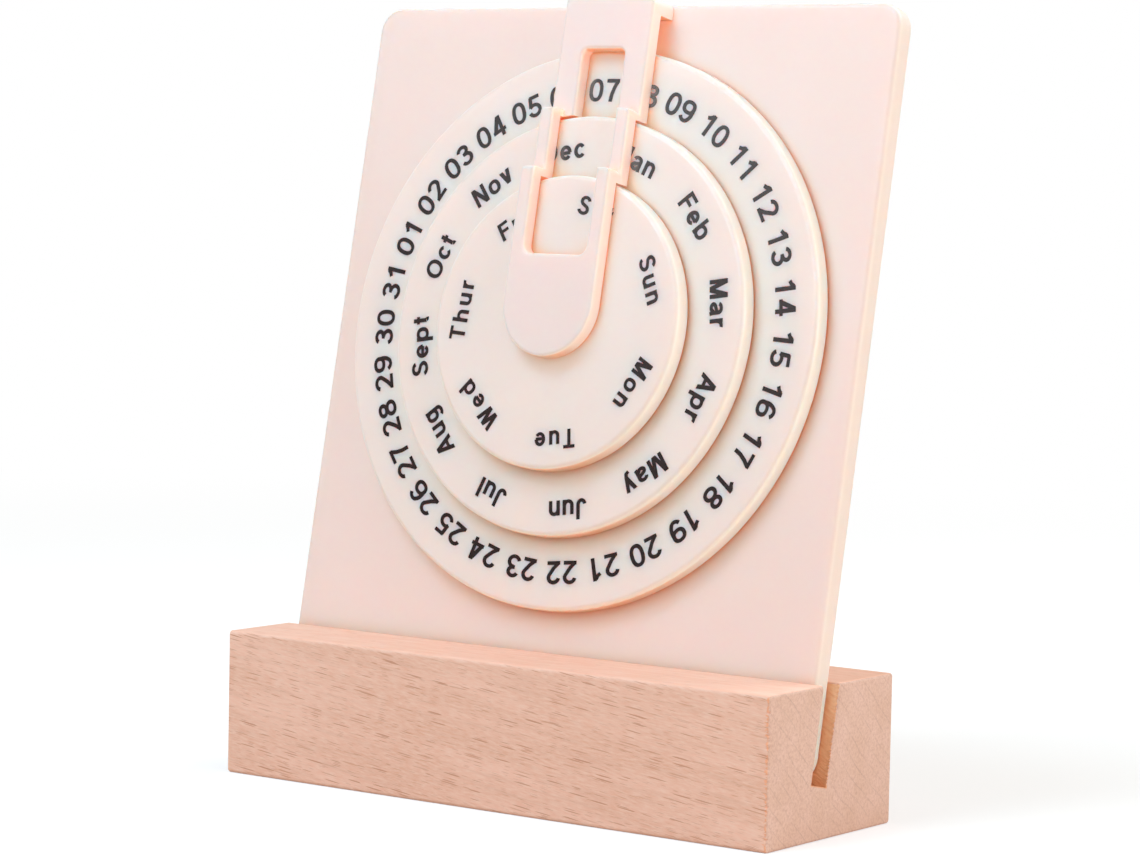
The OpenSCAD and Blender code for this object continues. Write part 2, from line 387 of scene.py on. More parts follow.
turned_steel, tree, shader = surface("turned_steel")
place = add(tree, "TexCoord").outputs["Object"]
from_axle = add(tree, "VectorMath", {0: place, 1: axle_spot[:]}, operation="SUBTRACT").outputs[0]
along = dot(tree, from_axle, axle_out[:])
size = add(tree, "VectorMath", {0: from_axle}, operation="LENGTH").outputs["Value"]
size_squared, along_squared = (calc(tree, "POWER", value, 2.0) for value in (size, along))
radius = calc(tree, "SQRT", calc(tree, "SUBTRACT", size_squared, along_squared))
rings = calc(tree, "SINE", times(tree, calc(tree, "ADD", radius, along), TURNING_MARKS))
grime = cloud(tree, place, 900.0, 4.0)
steel_grey = blend(tree, grime, rgb(205, 205, 208), rgb(222, 222, 224))
steel_bump = add(tree, "Bump", {"Height": rings, "Strength": 0.15, "Distance": 0.03 * MM})
tree.links.new(steel_bump.outputs[0], shader.inputs["Normal"])
tree.links.new(span(tree, grime, 0.3, 0.7, 0.24, 0.38), shader.inputs["Roughness"])
tree.links.new(steel_grey, shader.inputs["Base Color"])
shader.inputs["Metallic"].default_value = 1.0

white_nylon, tree, shader = surface("white_nylon")
place = add(tree, "TexCoord").outputs["Object"]
speckle = cloud(tree, place, 1500.0, 3.0)
nylon_white = blend(tree, speckle, rgb(240, 238, 230), rgb(247, 246, 240))
nylon_bump = add(tree, "Bump", {"Height": speckle, "Strength": 0.1, "Distance": 0.05 * MM})
tree.links.new(nylon_bump.outputs[0], shader.inputs["Normal"])
tree.links.new(nylon_white, shader.inputs["Base Color"])
shader.inputs["Roughness"].default_value = 0.45

dress(turned_steel, "axle_post", "axle_screw")
dress(white_nylon, "plate_washer", "date_washer", "month_washer", "week_washer")
print("turning marks, mm apart:", round(math.tau / TURNING_MARKS / MM, 2))

# %% [markdown]
# ## Beech
# Beech has no bold figure. Its long faces carry thousands of short dark dashes, the cut edges of
# its rays, over fine pale fibres. Its end grain shows faint growth rings crossed by straight rays,
# and sawn walls are rough, with painted shade that darkens them further into the slot. One
# material paints all three, and the direction in which a face looks tells it which one to paint.
# Where the saw left the block's right end, the last millimetre is torn into orange crumbs, with
# painted shade in the crevices between them.

# %% Beech helpers
SLOT_MOUTH_Y, BLOCK_TOP = -3.1 * MM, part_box("base_block")[1].z
SLOT_WIDTH, SLOT_DEPTH = 5.2 * MM, 18.6 * MM
ARRIS_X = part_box("base_block")[1].x
SAW_SLACK, SLOT_LIP = 0.2 * MM, 0.35 * MM
TORN_REACH = 1.3 * MM
ALONG_GRAIN = (0, math.radians(7), 0)
ALONG_SAW = (0, math.radians(24), 0)
ACROSS_RINGS, ALONG_RINGS = (0, 0.663, 0.749), (0, 0.749, -0.663)
RING_MM, RING_BEND = 2.5, 1.5
RAY_WIDTHS, RAY_LENGTHS = 3000.0, 240.0
WOOD_IOR = 1.45

beech, tree, shader = surface("beech")
coords = add(tree, "TexCoord").outputs
place, looks = coords["Object"], coords["Normal"]
y_of = add(tree, "SeparateXYZ", {0: place}).outputs
n_of = add(tree, "SeparateXYZ", {0: looks}).outputs


def grain(scale, turn=(0, 0, 0)):
    """Object coordinates turned and stretched, so that a texture runs with the grain."""
    inputs = {"Vector": place, "Rotation": turn}
    turned = add(tree, "Mapping", inputs, vector_type="TEXTURE").outputs[0]
    return add(tree, "VectorMath", {0: turned, 1: scale}, operation="MULTIPLY").outputs[0]


def figure(scale, turn=(0, 0, 0), detail=2.0, rough=0.5):
    """Noise whose features are 1 / scale metres in size along each axis."""
    return cloud(tree, grain(scale, turn), 1.0, detail, rough)


def dashes(scale, reach, share, seed):
    """Short dark dashes: one per Voronoi cell, some cells left empty. 1 in a dash, 0 outside."""
    apart = {0: grain(scale, ALONG_GRAIN), 1: (seed, seed * 1.7, seed * 0.3)}
    shifted = add(tree, "VectorMath", apart, operation="ADD").outputs[0]
    wobble = add(tree, "TexNoise", {"Vector": shifted, "Scale": 0.35, "Detail": 1.0}).outputs
    bending = {0: wobble["Color"], 1: (0.5, 0.5, 0.5), 2: shifted}
    bent = add(tree, "VectorMath", bending, operation="MULTIPLY_ADD").outputs[0]
    cells = add(tree, "TexVoronoi", {"Vector": bent, "Scale": 1.0, "Randomness": 1.0})
    chosen = add(tree, "SeparateColor", {0: cells.outputs["Color"]}).outputs
    strength = span(tree, chosen[0], 1 - share, 1 - share * 0.3)
    size = span(tree, chosen[1], 0.0, 1.0, reach * 0.5, reach)
    out_from_middle = calc(tree, "DIVIDE", cells.outputs["Distance"], size)
    return times(tree, span(tree, out_from_middle, 1.0, 0.7, smooth=True), strength)


print("grain slope in degrees:", round(math.degrees(ALONG_GRAIN[1])))

# %% [markdown]
# The side faces have pale fibres and darker streaks under the dashes, and a torn right arris. The
# top is smoother and warmer, with fewer dashes, and it is painted lighter than the sides: a painted
# brightness that stands in for the stronger light on it from above.

# %% Side and top
patches = figure((28, 90, 190), ALONG_GRAIN)
fibres = figure((380, 2000, 2700), ALONG_GRAIN, 4.0, 0.65)
streaks = figure((60, 700, 900), ALONG_GRAIN, 3.0)
long_dashes = dashes((170, 760, 3100), 0.47, 0.62, 3.0)
short_dashes = dashes((310, 1100, 4200), 0.46, 0.62, 11.0)
dark_dashes = calc(tree, "MAXIMUM", long_dashes, times(tree, short_dashes, 0.7))
side = blend(tree, span(tree, patches, 0.35, 0.68), rgb(231, 177, 151), rgb(242, 191, 168))
side = layer(tree, side, span(tree, fibres, 0.38, 0.66), 0.62, rgb(246, 212, 194))
side = layer(tree, side, span(tree, streaks, 0.5, 0.8), 0.45, rgb(221, 172, 148))
side = layer(tree, side, dark_dashes, 0.64, rgb(190, 124, 90))
to_arris = span(tree, y_of["X"], ARRIS_X - TORN_REACH, ARRIS_X)
crumbs = figure((1100, 1100, 2100), rough=0.6)
torn = span(tree, calc(tree, "MULTIPLY_ADD", to_arris, 0.42, crumbs), 0.74, 0.82)
# Torn crumbs: orange torn wood, with painted shade in the darker crevices between them.
crumb_and_crevice_shade = blend(tree, span(tree, crumbs, 0.42, 0.58), rgb(196, 118, 82), rgb(243, 172, 132))
side = layer(tree, side, torn, 0.85, crumb_and_crevice_shade)

# The top's colours are lighter than the sides': painted light from above.
top_painted_lighter = blend(tree, span(tree, streaks, 0.3, 0.7), rgb(247, 191, 163), rgb(252, 206, 183))
top_painted_lighter = layer(tree, top_painted_lighter, long_dashes, 0.16, rgb(205, 150, 118))
top_side = span(tree, calc(tree, "ABSOLUTE", n_of["Z"]), 0.5, 0.9)
long_faces = blend(tree, top_side, side, top_painted_lighter)
print("beech nodes after the long faces:", len(tree.nodes))

# %% [markdown]
# Growth rings cross the end grain on a slant. The height across them, in rings, is bent a little
# by noise. Its fraction runs from 0 to 1 in each ring, and the last part is the dark line.

# %% End grain
ring_height, ring_run = dot(tree, place, ACROSS_RINGS), dot(tree, place, ALONG_RINGS)
ring_bend = times(tree, figure((40, 70, 70)), RING_BEND)
ring_at = calc(tree, "ADD", times(tree, ring_height, 1 / (RING_MM * MM)), ring_bend)
ring_edge = span(tree, calc(tree, "FRACT", ring_at), 0.87, 0.97)
ring_strength = span(tree, figure((80, 260, 260)), 0.35, 0.65, 0.06, 0.44)
ray_spot = {0: times(tree, ring_height, RAY_LENGTHS), 1: times(tree, ring_run, RAY_WIDTHS)}
rays = cloud(tree, add(tree, "CombineXYZ", ray_spot).outputs[0])
pores = figure((900, 1700, 1700), detail=3.0, rough=0.75)
mottle = figure((60, 160, 160), detail=3.0)
end = blend(tree, span(tree, mottle, 0.35, 0.7), rgb(229, 191, 171), rgb(237, 200, 184))
end = layer(tree, end, span(tree, rays, 0.5, 0.75), 0.5, rgb(240, 205, 188))
end = layer(tree, end, span(tree, pores, 0.42, 0.72), 0.62, rgb(200, 152, 133))
end = layer(tree, end, ring_edge, ring_strength, rgb(186, 146, 132))
end_side = span(tree, calc(tree, "ABSOLUTE", n_of["X"]), 0.45, 0.8)
planed = blend(tree, end_side, long_faces, end)
print("beech nodes after the end grain:", len(tree.nodes))

# %% [markdown]
# The slot's walls are found by their place: between the slot's two sides, under its lip and above
# its floor. The saw leaves slanting marks there, and further down the walls are painted darker and
# more orange: painted shade, deeper in the narrow slot.

# %% Slot walls
def within(value, low, high):
    """1 where the value lies between low and high, 0 elsewhere."""
    return times(tree, calc(tree, "GREATER_THAN", value, low), calc(tree, "LESS_THAN", value, high))


back_from_mouth = calc(tree, "SUBTRACT", y_of["Y"], SLOT_MOUTH_Y)
below_top = calc(tree, "SUBTRACT", BLOCK_TOP, y_of["Z"])
back_inward = times(tree, back_from_mouth, math.cos(LEAN))
inward = calc(tree, "ADD", back_inward, times(tree, below_top, math.sin(LEAN)))
top_along = times(tree, below_top, math.cos(LEAN))
along_slot = calc(tree, "SUBTRACT", top_along, times(tree, back_from_mouth, math.sin(LEAN)))
in_width = within(inward, -SAW_SLACK, SLOT_WIDTH + SAW_SLACK)
under_lip = calc(tree, "GREATER_THAN", below_top, SLOT_LIP)
over_floor = calc(tree, "LESS_THAN", along_slot, SLOT_DEPTH + SAW_SLACK)
sawn_wall = times(tree, in_width, times(tree, under_lip, over_floor))
saw_marks = figure((300, 300, 2300), ALONG_SAW, 3.0, 0.6)
# Painted shade: the sawn walls turn darker and more orange with depth below the top.
deep = span(tree, below_top, 4 * MM, 19 * MM)
sawn = blend(tree, span(tree, saw_marks, 0.3, 0.7), rgb(246, 190, 148), rgb(254, 210, 168))
sawn = layer(tree, sawn, deep, 0.35, rgb(218, 150, 104))
sawn = layer(tree, sawn, to_arris, 0.4, crumb_and_crevice_shade)
wood = blend(tree, sawn_wall, planed, sawn)
print("beech nodes after the slot:", len(tree.nodes))

# %% [markdown]
# The same patterns are pressed into the surface as bump: fibres stand up, dashes and pores lie
# low, and saw marks are the roughest.

# %% Beech relief
grooves = calc(tree, "SUBTRACT", times(tree, fibres, 0.45), times(tree, dark_dashes, 0.4))
smoothing = calc(tree, "SUBTRACT", 1.0, times(tree, top_side, 0.7))
reliefs = {0: end_side, 2: times(tree, grooves, smoothing), 3: times(tree, pores, 1.6)}
relief = add(tree, "Mix", reliefs, data_type="FLOAT").outputs[0]
reliefs = {0: sawn_wall, 2: relief, 3: times(tree, saw_marks, 4.0)}
relief = add(tree, "Mix", reliefs, data_type="FLOAT").outputs[0]
wood_bump = add(tree, "Bump", {"Height": relief, "Strength": 0.55, "Distance": 0.12 * MM})
tree.links.new(wood, shader.inputs["Base Color"])
tree.links.new(wood_bump.outputs[0], shader.inputs["Normal"])
tree.links.new(span(tree, fibres, 0.2, 0.8, 0.52, 0.68), shader.inputs["Roughness"])
shader.inputs["IOR"].default_value = WOOD_IOR
print("beech nodes:", len(tree.nodes))

# %% [markdown]
# ## The block's outline
# Seen from its end the block is a rectangle with a leaning slot. The outline is walked round as
# corners, each with a small radius, because no real arris is sharp. Points are close together, so
# that later the wood can tear a little at the edges that the saw left rough.

# %% Block outline
BLOCK_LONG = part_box("base_block")[1].x / MM
BLOCK_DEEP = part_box("base_block")[1].y / MM
BLOCK_HIGH = BLOCK_TOP / MM
SLOT_WIDE, SLOT_DEEP = SLOT_WIDTH / MM, SLOT_DEPTH / MM
EASED, LIP_EASED, FLOOR_EASED = 0.72, 0.35, 0.15
POINT_STEP, ARC_STEPS = 0.3, 5


def slot_point(inwards, depth):
    """A point of the slot, in mm: inwards from its front wall, and down along its lean."""
    y = SLOT_MOUTH_Y / MM + inwards * math.cos(LEAN) - depth * math.sin(LEAN)
    z = BLOCK_HIGH - inwards * math.sin(LEAN) - depth * math.cos(LEAN)
    return y, z


def half_angle(first, second):
    """Half the angle between two directions."""
    return math.acos(max(-1, min(1, first.dot(second)))) / 2


def rounded(corners):
    """Walks a closed outline of (y, z, radius, tag) corners: points (Vector, outward, tag)."""
    walk = []
    count = len(corners)
    for i, (y, z, radius, tag) in enumerate(corners):
        here = Vector((y, z))
        there = Vector(corners[(i + 1) % count][:2])
        beyond = Vector(corners[(i + 2) % count][:2])
        back = (Vector(corners[i - 1][:2]) - here).normalized()
        ahead = (there - here).normalized()
        half = half_angle(back, ahead)
        cut = radius / math.tan(half)
        start, stop = here + back * cut, here + ahead * cut
        centre = here + (back + ahead).normalized() * (radius / math.sin(half))
        outer = back.cross(ahead) < 0
        for k in range(ARC_STEPS + 1):
            arm = (start - centre).lerp(stop - centre, k / ARC_STEPS).normalized() * radius
            walk.append((centre + arm, arm.normalized() * (1 if outer else -1), tag))
        next_half = half_angle(-ahead, (beyond - there).normalized())
        finish = there - ahead * (corners[(i + 1) % count][2] / math.tan(next_half))
        pieces = max(1, round((finish - stop).length / POINT_STEP))
        outward = Vector((ahead.y, -ahead.x))
        walk += [(stop.lerp(finish, k / pieces), outward, tag) for k in range(1, pieces)]
    return walk


rear_rise = SLOT_WIDE * math.tan(LEAN)
block_corners = [
    (-BLOCK_DEEP, 0, EASED, "under"),
    (BLOCK_DEEP, 0, EASED, "rear"),
    (BLOCK_DEEP, BLOCK_HIGH, EASED, "top"),
    (*slot_point(SLOT_WIDE, -rear_rise), LIP_EASED, "rear_wall"),
    (*slot_point(SLOT_WIDE, SLOT_DEEP), FLOOR_EASED, "slot_floor"),
    (*slot_point(0, SLOT_DEEP), FLOOR_EASED, "front_wall"),
    (*slot_point(0, 0), LIP_EASED, "top"),
    (-BLOCK_DEEP, BLOCK_HIGH, EASED, "front"),
]
outline = rounded(block_corners)
print("outline points:", len(outline))

# %% [markdown]
# ## Torn edges
# Where the saw left the wood it tore out fibres: at the block's ends, along the front right arris
# and the slot's mouth. Paint alone would leave the silhouette smooth. So a row of seeded chips
# says where each arris is torn and how deep, and the mesh is pulled inwards there.

# %% Chips
TEAR_SEED = 5
CHIP_HALVES = (0.12, 0.34)
chance = random.Random(TEAR_SEED)


def chip_row(low, high, spacing, reach, depth):
    """Seeded chips along an arris: (place, half width, reach, depth), in mm."""
    row, at = [], low
    while at < high:
        half = chance.uniform(*CHIP_HALVES)
        row.append((at, half, chance.uniform(*reach), chance.uniform(*depth)))
        at += chance.uniform(*spacing)
    return row


front_chips = chip_row(0.6, BLOCK_HIGH - 0.8, (0.45, 1.15), (0.35, 1.2), (0.16, 0.48))
slot_chips = chip_row(10.5, BLOCK_HIGH - 1.0, (0.35, 0.8), (0.3, 0.9), (0.15, 0.45))


def chipped(row, at, from_end):
    """How deep the chips of a row cut at this place along the arris and distance from the end."""
    deepest = 0.0
    for centre, half, reach, depth in row:
        near = 1 - abs(at - centre) / half
        close = 1 - from_end / reach
        if near > 0 and close > 0:
            deepest = max(deepest, depth * min(1, near * 1.6) * close)
    return deepest


print("chips:", len(front_chips), "at the front,", len(slot_chips), "in the slot")

# %% [markdown]
# ## Sweeping the block
# The outline is repeated along the block: widely spaced in the middle, close together near the
# ends. The last rings shrink on a quarter circle, which rounds the end's arris. Sawn walls get a
# slight waviness, and the ends a much finer one.

# %% Block rings
END_EASE, SLOT_EASE = 0.55, 0.18
CHIP_IN, CHIP_BACK, CHIP_BACK_FLAT = 0.8, 0.9, 0.35
SAW_ROUGH, END_ROUGH, END_ROUGH_REACH = 0.05, 0.012, 3


def block_ring(sign, from_end, quarter):
    """One ring of the block's points, near the end that sign names, 1 right or -1 left.

    from_end is the distance from that end, or None on the rounding, where quarter is the share of
    the quarter circle that is still to come.
    """
    ring = []
    turn = quarter * math.pi / 2
    for spot, outward, tag in outline:
        in_slot = tag in ("rear_wall", "slot_floor", "front_wall")
        ease = SLOT_EASE if in_slot else END_EASE
        gap = from_end if from_end is not None else ease * (1 - math.sin(turn))
        inset = ease * (1 - math.cos(turn)) if from_end is None else 0.0
        point = spot - outward * inset
        x = BLOCK_LONG - gap
        tear = 0.0
        if sign > 0 and tag == "front":
            tear = chipped(front_chips, spot.y, gap + inset)
        elif tag == "rear_wall":
            tear = chipped(slot_chips, spot.y, gap + inset)
        if tear:
            point = point - outward * tear * CHIP_IN
            x -= tear * CHIP_BACK * (1 if quarter > 0 else CHIP_BACK_FLAT)
        if in_slot:
            rough = noise.noise(Vector((x * 1.2, spot.x * 2.0, spot.y * 2.6)))
            point = point - outward * (SAW_ROUGH + SAW_ROUGH * rough)
        elif gap < END_ROUGH_REACH:
            rough = noise.noise(Vector((x * 2, spot.x * 3, spot.y * 5)))
            point = point - outward * END_ROUGH * (1 + rough)
        ring.append(Vector((sign * x, point.x, point.y)) * MM)
    return ring


print("points in a ring:", len(block_ring(1, END_EASE, 0)))

# %% [markdown]
# Neighbouring rings are joined by four-sided faces, and a flat cap closes each end. The faces are
# shaded smooth except at corners sharper than 40 degrees.

# %% Block mesh
END_STEPS, FINE_STEP, FINE_RINGS = 5, 0.18, 14
MIDDLE_STEP = 1.6
SHARP_CORNER = math.radians(40)


def make_block():
    """The block's mesh: rings from the left end to the right end, and two caps."""
    near = [(None, k / END_STEPS) for k in range(END_STEPS, -1, -1)]
    near += [(END_EASE + FINE_STEP * k, 0) for k in range(1, FINE_RINGS)]
    far = near[-1][0]
    middle = 2 * (BLOCK_LONG - far)
    steps = round(middle / MIDDLE_STEP)
    rings = [block_ring(-1, *r) for r in near]
    rings += [block_ring(1, BLOCK_LONG * 2 - far - middle * k / steps, 0) for k in range(1, steps)]
    rings += [block_ring(1, *r) for r in reversed(near)]
    count = len(outline)
    points = [p for ring in rings for p in ring]
    faces = []
    for k in range(len(rings) - 1):
        for i in range(count):
            j = (i + 1) % count
            faces.append((k * count + i, (k + 1) * count + i, (k + 1) * count + j, k * count + j))
    last = (len(rings) - 1) * count
    caps = [tuple(range(count)), tuple(range(last, last + count))[::-1]]
    mesh = bpy.data.meshes.new("beech_block")
    mesh.from_pydata(points, [], faces + caps)
    mesh.validate()
    mesh.update()
    return mesh


block_mesh = make_block()
for face in block_mesh.polygons:
    face.use_smooth = len(face.vertices) == 4
block_mesh.set_sharp_from_angle(angle=SHARP_CORNER)
block_mesh.materials.append(beech)
block = bpy.data.objects.new("beech_block", block_mesh)
bpy.context.scene.collection.objects.link(block)
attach(block, "base")
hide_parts("base_block")
print("block faces:", len(block_mesh.polygons))

# %% [markdown]
# ## A pen for the numbers and names
# The dials are printed in a plain bold sans-serif. Instead of a font file, each character is a few
# strokes of a flat pen: stems, bowls, hooks and slants, in heights of a capital. The pen is a
# little thinner in level strokes, as in any printed sans-serif, or they would look too heavy.

# %% Pen strokes
PEN = 0.186
LEVEL_THIN = 0.87


def arc(cx, cy, rx, ry, start, stop, steps=14, power=2.0):
    """Points on an oval from start to stop degrees. A power above 2 squares its shoulders."""
    points = []
    for k in range(steps + 1):
        a = math.radians(start + (stop - start) * k / steps)
        c, s = math.cos(a), math.sin(a)
        grow = (abs(c) ** power + abs(s) ** power) ** (-1 / power)
        points.append((cx + rx * c * grow, cy + ry * s * grow))
    return points


def stroke(*path):
    """A pen stroke along points: a ribbon of quads with mitred corners and square ends."""
    line = [Vector((x, y / LEVEL_THIN)) for x, y in path]
    line = [p for i, p in enumerate(line) if i == 0 or (p - line[i - 1]).length > 1e-5]
    closed = (line[0] - line[-1]).length < 1e-4
    if closed:
        line.pop()
    count = len(line)
    left, right = [], []
    for i, here in enumerate(line):
        ways = [here - line[i - 1]] if closed or i else []
        ways += [line[(i + 1) % count] - here] if closed or i < count - 1 else []
        sides = [Vector((-w.y, w.x)).normalized() for w in ways]
        mitre = sides[0]
        if len(sides) == 2:
            mitre = (sides[0] + sides[1]) / (1 + sides[0].dot(sides[1]))
        left.append(here + mitre * PEN / 2)
        right.append(here - mitre * PEN / 2)
    quads = []
    for i in range(count if closed else count - 1):
        j = (i + 1) % count
        quads.append([(p.x, p.y * LEVEL_THIN) for p in (right[i], right[j], left[j], left[i])])
    return quads


def oval(cx, cy, rx, ry, power=2.35):
    """A closed round stroke, such as a zero or a small o."""
    return stroke(*arc(cx, cy, rx, ry, 0, 360, 28, power))


print("pen width, of a capital's height:", PEN)

# %% [markdown]
# Straight strokes need no ribbon: a stem, a bar and a slant are single quads. A character can also
# be turned or mirrored whole, which saves drawing its twin.

# %% Straight strokes
def stem(x, low, high):
    """An upright stroke about the line x."""
    return [[(x - PEN / 2, low), (x + PEN / 2, low), (x + PEN / 2, high), (x - PEN / 2, high)]]


def bar(y, left, right):
    """A level stroke about the line y."""
    half = PEN * LEVEL_THIN / 2
    return [[(left, y - half), (right, y - half), (right, y + half), (left, y + half)]]


def slant(x0, y0, x1, y1, heavy=1.08):
    """A sloping stroke whose ends are cut level."""
    half = PEN * heavy / 2 * math.hypot(x1 - x0, y1 - y0) / abs(y1 - y0)
    if y0 > y1:
        x0, y0, x1, y1 = x1, y1, x0, y0
    return [[(x0 - half, y0), (x0 + half, y0), (x1 + half, y1), (x1 - half, y1)]]


def turned(quads, width, height):
    """The same strokes turned half round, as a nine is a six."""
    return [[(width - x, height - y) for x, y in quad] for quad in quads]


def flipped(quads, width):
    """The same strokes mirrored left to right, as a d is a b."""
    return [[(width - x, y) for x, y in reversed(quad)] for quad in quads]


print("a stem's corners:", [(round(x, 3), y) for x, y in stem(0, 0, 1)[0]])

# %% [markdown]
# ## The characters
# Only the characters that the calendar needs are drawn: ten digits and the letters of the month
# and weekday names. A nine is a turned six, a small u is a turned n, and a d is a mirrored b.

# %% Digits
TOP, FOOT = 1 - PEN * LEVEL_THIN / 2, PEN * LEVEL_THIN / 2
MID = 0.5
SIX_WIDTH = 0.71


def zero():
    """A tall oval."""
    return oval(0.355, MID, 0.27, TOP - MID)


def one():
    """A stem with a flag."""
    return stem(0.44, 0, 1) + stroke((0.13, 0.715), (0.27, 0.79), (0.385, 0.93))


def two():
    """A hook that slants down to a level foot."""
    hook = arc(0.345, 0.70, 0.26, TOP - 0.70, 172, -38, 16)
    return stroke(*hook, (0.35, 0.30), (0.12, FOOT + 0.01)) + bar(FOOT, 0.03, 0.69)


def three():
    """Two open bowls, joined in the middle."""
    upper = stroke(*arc(0.335, 0.735, 0.235, TOP - 0.735, 165, -90, 16))
    lower = stroke(*arc(0.345, 0.305, 0.265, 0.305 - FOOT, 90, -165, 18))
    return upper + lower + bar(0.545, 0.26, 0.36)


def four():
    """A stem, a slant and a crossbar."""
    return stem(0.52, 0, 1) + slant(0.135, 0.28, 0.50, 1.0) + bar(0.285, 0.02, 0.72)


def five():
    """A level top, a short back and an open bowl."""
    bowl = stroke((0.12, 0.475), *arc(0.34, 0.325, 0.275, 0.325 - FOOT, 118, -163, 20))
    return bar(TOP, 0.17, 0.67) + stroke((0.215, 0.95), (0.155, 0.46)) + bowl


def six():
    """A closed bowl under a long hook."""
    hook = arc(0.385, 0.53, 0.295, TOP - 0.53, 38, 120, 8)
    back = arc(0.385, 0.48, 0.295, TOP - 0.48, 140, 200, 8)
    return oval(0.36, 0.31, 0.27, 0.31 - FOOT) + stroke(*hook, *back)


def seven():
    """A level top and a bent leg."""
    return bar(TOP, 0.03, 0.69) + stroke((0.62, TOP), (0.46, 0.64), (0.35, 0.33), (0.31, 0))


def eight():
    """A small oval on a larger one."""
    upper = oval(0.36, 0.74, 0.235, TOP - 0.74, 2.1)
    return upper + oval(0.36, 0.295, 0.275, 0.295 - FOOT, 2.15)


shapes = (zero, one, two, three, four, five, six, seven, eight)
DIGITS = {str(value): shape() for value, shape in enumerate(shapes)}
DIGITS["9"] = turned(six(), SIX_WIDTH, 1)
print("digits:", " ".join(DIGITS))

# %% [markdown]
# The letters are set a little heavier than the digits. Many share a part: a tall or short stem,
# the bowl of a b, the shoulder of an n.

# %% Letters
PEN = 0.198
TOP, FOOT = 1 - PEN * LEVEL_THIN / 2, PEN * LEVEL_THIN / 2
X_HIGH = 0.735
X_STEM = X_HIGH - 0.01
X_MID = X_HIGH / 2
BOWL = (X_HIGH - PEN * LEVEL_THIN) / 2
EDGE = 0.085

tall_stem, short_stem = stem(EDGE, 0, 1), stem(EDGE, 0, X_STEM)
b_bowl = oval(0.345, X_MID, 0.25, BOWL)
shoulder = arc(0.31, 0.45, 0.215, X_HIGH - FOOT - 0.45, 180, 0, 12)
n_shape = short_stem + stroke(*shoulder, (0.525, 0))
a_back = arc(0.29, 0.50, 0.205, X_HIGH - FOOT - 0.50, 168, 0, 12)
a_bowl = arc(0.26, 0.215, 0.18, 0.215 - FOOT, 95, 290, 14)
e_bowl = arc(0.32, X_MID, 0.235, BOWL, 10, 322, 22)
g_tail = stroke((0.53, X_HIGH), (0.53, 0.0), *arc(0.305, -0.045, 0.225, 0.165, 0, -155, 12))
y_tail = stroke((0.535, X_HIGH - 0.02), (0.305, 0.0), (0.23, -0.16), (0.06, -0.20))
D_bowl = arc(0.34, MID, 0.335, TOP - MID, 80, -80, 16)
S_upper = arc(0.365, 0.715, 0.245, TOP - 0.715, 18, 235, 18)
S_lower = arc(0.365, 0.29, 0.275, 0.29 - FOOT, 55, -163, 18)
LETTERS = {
    "a": stroke(*a_back, (0.495, 0.14), (0.53, 0)) + stroke((0.495, 0.41), *a_bowl, (0.49, 0.24)),
    "b": tall_stem + b_bowl,
    "c": stroke(*arc(0.32, X_MID, 0.235, BOWL, 38, 322, 20)),
    "d": flipped(tall_stem + b_bowl, 0.68),
    "e": bar(0.355, 0.12, 0.58) + stroke((0.555, 0.36), *e_bowl),
    "g": oval(0.30, X_MID + 0.01, 0.225, BOWL - 0.01) + g_tail,
    "h": n_shape + tall_stem,
    "i": short_stem + stem(EDGE, 0.86, 1),
    "l": tall_stem,
    "n": n_shape,
    "o": oval(0.33, X_MID, 0.25, BOWL),
    "p": stem(EDGE, -0.27, X_STEM) + b_bowl,
    "r": short_stem + stroke(*arc(0.33, 0.40, 0.235, X_HIGH - FOOT - 0.40, 180, 72, 10)),
    "t": stroke((0.185, 0.93), *arc(0.31, 0.18, 0.125, 0.18 - FOOT, 180, 285, 8))
    + bar(X_HIGH - FOOT, 0.0, 0.38),
    "u": turned(n_shape, 0.61, X_STEM),
    "v": slant(0.09, X_STEM, 0.29, 0) + slant(0.50, X_STEM, 0.30, 0),
    "y": slant(0.09, X_STEM, 0.31, 0.0) + y_tail,
    "A": slant(0.40, 1, 0.09, 0) + slant(0.42, 1, 0.73, 0) + bar(0.30, 0.20, 0.62),
    "D": tall_stem + stroke((EDGE, TOP), (0.34, TOP), *D_bowl, (0.34, FOOT), (EDGE, FOOT)),
    "F": tall_stem + bar(TOP, EDGE, 0.64) + bar(0.52, EDGE, 0.57),
    "J": stroke((0.45, 1), *arc(0.26, 0.30, 0.19, 0.30 - FOOT, 0, -172, 14)),
    "M": tall_stem + stem(0.785, 0, 1) + slant(0.10, 1, 0.425, 0) + slant(0.77, 1, 0.445, 0),
    "N": tall_stem + stem(0.675, 0, 1) + slant(0.10, 1, 0.66, 0),
    "O": oval(0.44, MID, 0.355, TOP - MID, 2.15),
    "S": stroke(*S_upper, *S_lower),
    "T": stem(0.35, 0, 1) + bar(TOP, 0.0, 0.70),
    "W": slant(0.09, 1, 0.29, 0) + slant(0.54, 1, 0.31, 0) + slant(0.54, 1, 0.77, 0)
    + slant(0.99, 1, 0.79, 0),
}
print("letters:", "".join(LETTERS))

# %% [markdown]
# ## Setting words
# Each number and name is a straight little word. Digits stand at an even pitch, and letters a
# fixed gap apart. The strokes of a letter overlap, so a Delaunay triangulation melts them into one
# flat shape, of which only the triangles under a stroke are kept.

# %% Words
DIGIT_ADVANCE = 0.848
DIGIT_WIDTH = 0.71


